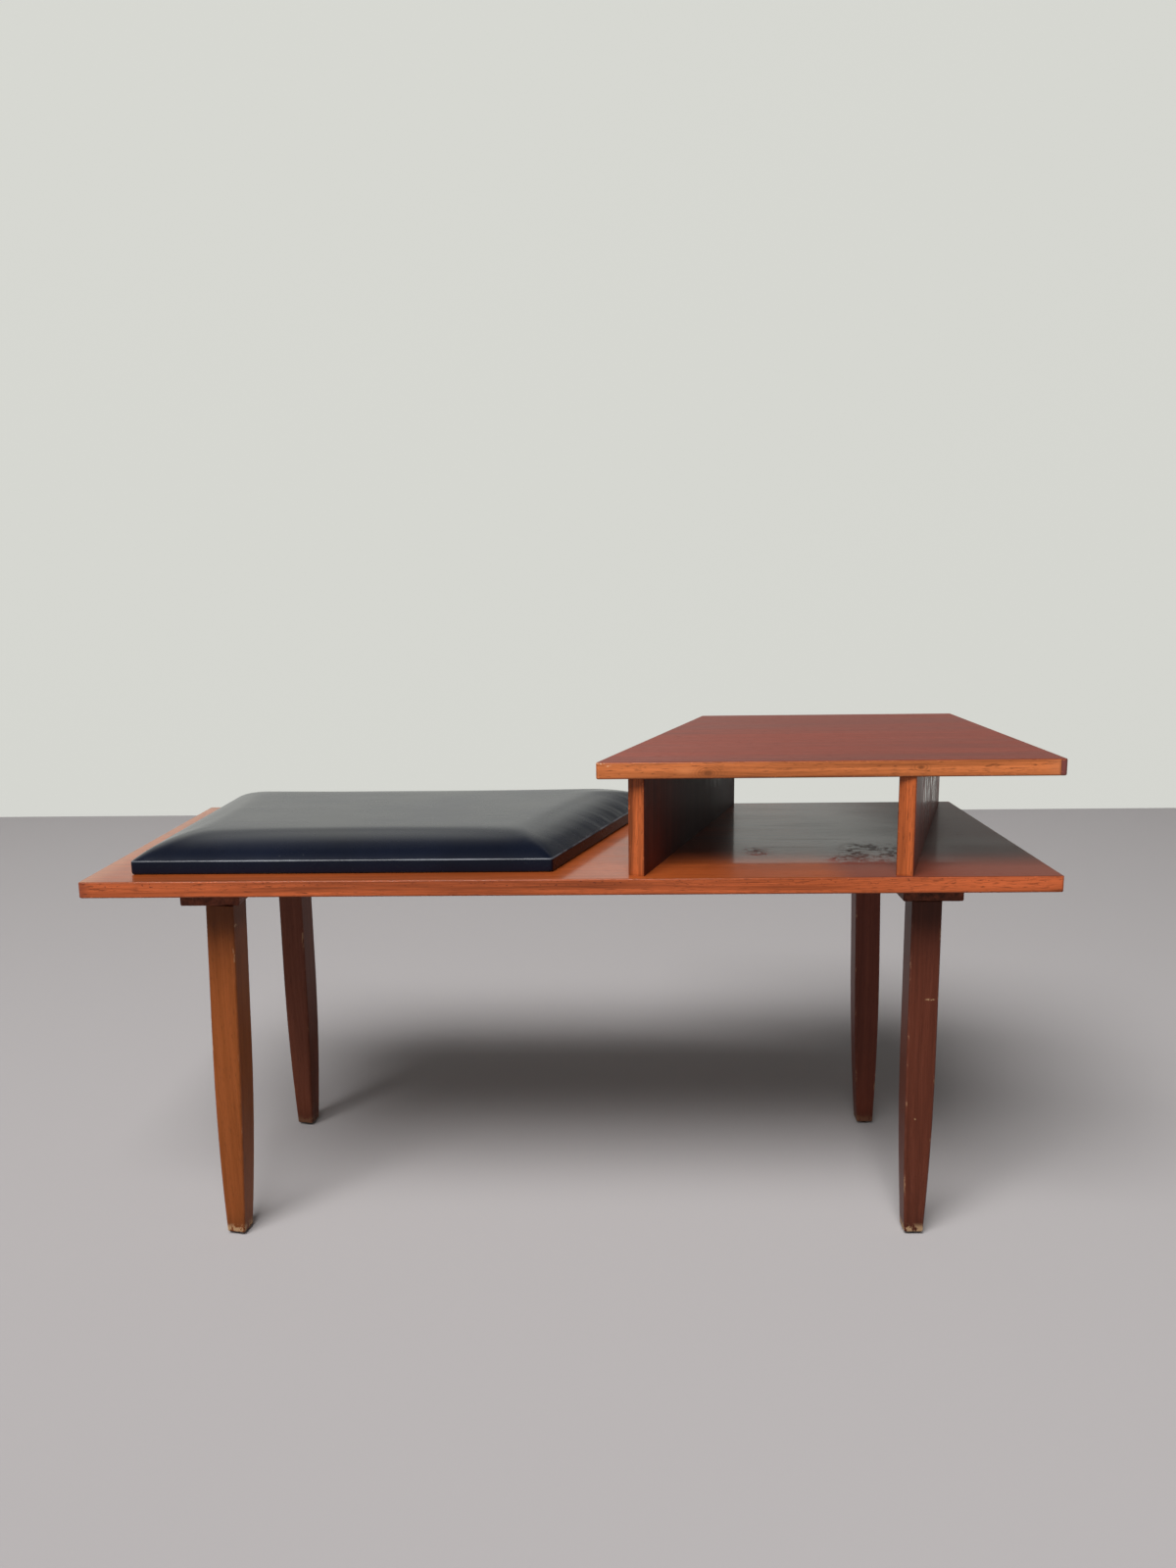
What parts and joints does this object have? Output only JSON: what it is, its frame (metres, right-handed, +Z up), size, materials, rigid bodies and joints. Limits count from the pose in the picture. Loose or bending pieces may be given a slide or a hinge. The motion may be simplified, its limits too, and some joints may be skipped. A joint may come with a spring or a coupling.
{
  "type": "telephone bench",
  "caption": "Long veneered seat board on tapered legs, with a black vinyl pad at one end and, at the other, a raised telephone shelf on slanted uprights.",
  "frame": {"origin": "on the floor, below the middle of the seat board", "axes": "+X along the seat board towards the telephone shelf, +Y from front to back, +Z up"},
  "size_m": [1, 0.4, 0.549],
  "materials": {
    "veneer": "satin",
    "solid_lipping": "satin",
    "particle_board": "matte",
    "bearer_wood": "satin",
    "leg_wood": "satin",
    "dowel_wood": "matte",
    "fastener_steel": "satin",
    "insert_brass": "satin",
    "glide_steel": "satin",
    "pad_plywood": "matte",
    "pad_foam": "matte",
    "black_vinyl": "satin",
    "staple_wire": "satin"
  },
  "bodies": {
    "root": {"back_left_leg": "leg_wood", "back_right_leg": "leg_wood", "bearer_screws": "fastener_steel", "foot_glides": "glide_steel", "front_left_leg": "leg_wood", "front_right_leg": "leg_wood", "hanger_bolts": "fastener_steel", "left_bearer": "bearer_wood", "left_upright_back_lipping": "solid_lipping", "left_upright_core": "particle_board", "left_upright_front_lipping": "solid_lipping", "left_upright_left_veneer": "veneer", "left_upright_right_veneer": "veneer", "pad_base_board": "pad_plywood", "pad_foam": "pad_foam", "pad_screws": "fastener_steel", "pad_staples": "staple_wire", "pad_vinyl_cover": "black_vinyl", "right_bearer": "bearer_wood", "right_upright_back_lipping": "solid_lipping", "right_upright_core": "particle_board", "right_upright_front_lipping": "solid_lipping", "right_upright_left_veneer": "veneer", "right_upright_right_veneer": "veneer", "seat_board_back_lipping": "solid_lipping", "seat_board_core": "particle_board", "seat_board_front_lipping": "solid_lipping", "seat_board_left_lipping": "solid_lipping", "seat_board_right_lipping": "solid_lipping", "seat_board_top_veneer": "veneer", "seat_board_underside_veneer": "veneer", "seat_to_upright_dowels": "dowel_wood", "shelf_back_lipping": "solid_lipping", "shelf_core": "particle_board", "shelf_front_lipping": "solid_lipping", "shelf_left_lipping": "solid_lipping", "shelf_right_lipping": "solid_lipping", "shelf_top_veneer": "veneer", "shelf_underside_veneer": "veneer", "threaded_inserts": "insert_brass", "upright_to_shelf_dowels": "dowel_wood"}
  },
  "joints": []
}
